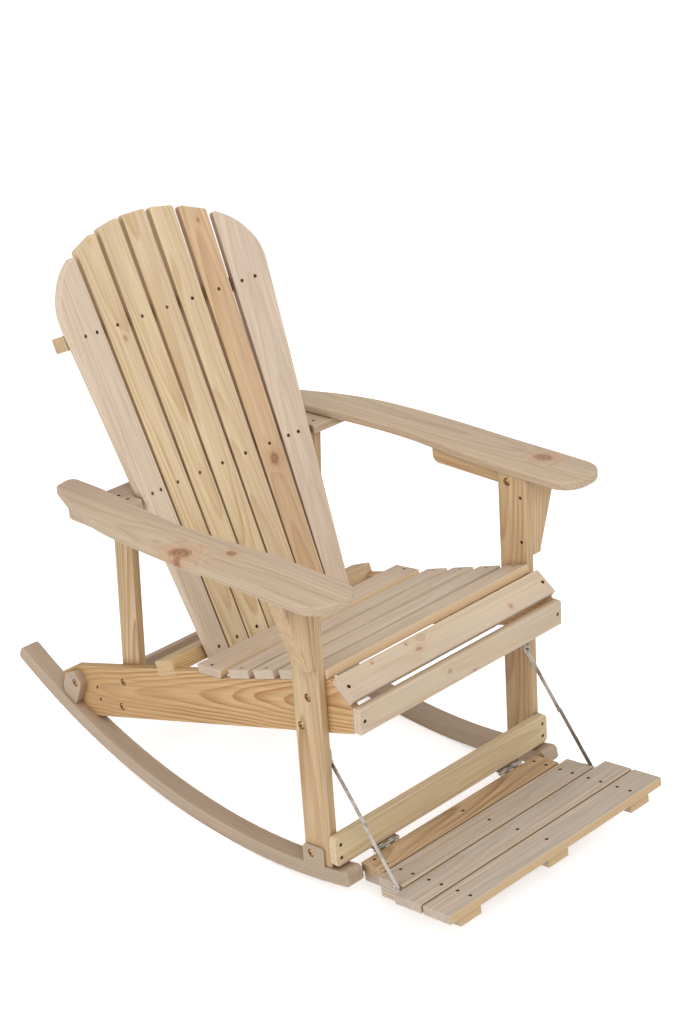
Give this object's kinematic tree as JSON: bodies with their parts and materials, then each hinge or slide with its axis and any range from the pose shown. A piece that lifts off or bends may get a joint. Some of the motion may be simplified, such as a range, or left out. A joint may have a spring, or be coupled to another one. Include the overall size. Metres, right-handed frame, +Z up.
{
  "type": "rocking adirondack chair",
  "caption": "Slatted wooden garden rocking chair with flared fan back, broad flat arms, curved rockers and a hinged slatted footrest held by folding stays.",
  "frame": {"origin": "The point on the floor midway between the rockers, on the line where they touch it when the chair stands by itself.", "axes": "+Z is up, the chair faces -Y, +X is the sitter's left."},
  "size_m": [0.7414, 1.1637, 1.0257],
  "materials": {
    "slat_wood": "planed unfinished softwood with fine grain and knots",
    "arm_wood": "planed unfinished softwood, a little greyer",
    "rail_wood": "planed unfinished softwood with strong flat grain",
    "rocker_wood": "smooth sanded wood, pinkish grey-brown",
    "bolt_steel": "bright zinc plate",
    "screw_steel": "dulled zinc plate",
    "fitting_steel": "grey zinc plate"
  },
  "bodies": {
    "chair_frame": {"apron_screws": "screw_steel", "arm_bracket_left": "arm_wood", "arm_bracket_right": "arm_wood", "arm_cross_rail": "slat_wood", "arm_left": "arm_wood", "arm_right": "arm_wood", "arm_screws": "screw_steel", "arm_support_rail_left": "arm_wood", "arm_support_rail_right": "arm_wood", "back_slat_1": "slat_wood", "back_slat_2": "slat_wood", "back_slat_3": "slat_wood", "back_slat_4": "slat_wood", "back_slat_5": "slat_wood", "back_slat_6": "slat_wood", "back_slat_7": "slat_wood", "back_slat_screws": "screw_steel", "bracket_screws": "screw_steel", "frame_bolts": "bolt_steel", "frame_nuts": "bolt_steel", "front_leg_left": "arm_wood", "front_leg_right": "arm_wood", "front_stretcher": "slat_wood", "hinge_fixed_leaves": "fitting_steel", "hinge_pins": "fitting_steel", "leg_fitting_screws": "screw_steel", "lower_apron": "slat_wood", "lower_back_rail": "rail_wood", "rear_post_left": "arm_wood", "rear_post_right": "arm_wood", "rear_stretcher": "rocker_wood", "rocker_left": "rocker_wood", "rocker_right": "rocker_wood", "seat_screws": "screw_steel", "seat_slat_1": "slat_wood", "seat_slat_2": "slat_wood", "seat_slat_3": "slat_wood", "seat_slat_4": "slat_wood", "seat_slat_5": "slat_wood", "side_rail_left": "rail_wood", "side_rail_right": "rail_wood", "stay_leg_plates": "fitting_steel", "stretcher_screws": "screw_steel", "top_back_rail": "slat_wood", "upper_apron": "slat_wood"},
    "footrest": {"footrest_cleat_left": "slat_wood", "footrest_cleat_middle": "slat_wood", "footrest_cleat_right": "slat_wood", "footrest_fitting_screws": "screw_steel", "footrest_screws": "screw_steel", "footrest_slat_1": "slat_wood", "footrest_slat_2": "slat_wood", "footrest_slat_3": "slat_wood", "footrest_slat_4": "slat_wood", "hinge_moving_leaves": "fitting_steel", "stay_foot_plates": "fitting_steel"},
    "upper_stay_left": {"stay_upper_link_left": "fitting_steel"},
    "upper_stay_right": {"stay_upper_link_right": "fitting_steel"},
    "lower_stay_left": {"stay_lower_link_left": "fitting_steel"},
    "lower_stay_right": {"stay_lower_link_right": "fitting_steel"}
  },
  "joints": [
    {"name": "footrest_fold", "type": "hinge", "parent": "chair_frame", "child": "footrest", "pos_m": [0, -0.3221, 0.07368], "axis": [-1, 0, 0], "range_deg": [0, 83.9]},
    {"name": "upper_stay_left_turn", "type": "hinge", "parent": "chair_frame", "child": "upper_stay_left", "pos_m": [0.257, -0.28052, 0.27078], "axis": [1, 0, 0], "range_deg": [0, 78.64]},
    {"name": "lower_stay_left_turn", "type": "hinge", "parent": "footrest", "child": "lower_stay_left", "pos_m": [0.25875, -0.44337, 0.0821], "axis": [1, 0, 0], "range_deg": [0, 24.17]},
    {"name": "upper_stay_right_turn", "type": "hinge", "parent": "chair_frame", "child": "upper_stay_right", "pos_m": [-0.257, -0.28052, 0.27078], "axis": [1, 0, 0], "range_deg": [0, 78.64]},
    {"name": "lower_stay_right_turn", "type": "hinge", "parent": "footrest", "child": "lower_stay_right", "pos_m": [-0.25875, -0.44337, 0.0821], "axis": [1, 0, 0], "range_deg": [0, 24.17]}
  ],
  "couplings": [
    {"joint": "upper_stay_left_turn", "follows": "footrest_fold", "ratio": 0.93705},
    {"joint": "lower_stay_left_turn", "follows": "footrest_fold", "ratio": 0.28787},
    {"joint": "upper_stay_right_turn", "follows": "footrest_fold", "ratio": 0.93705},
    {"joint": "lower_stay_right_turn", "follows": "footrest_fold", "ratio": 0.28787}
  ]
}
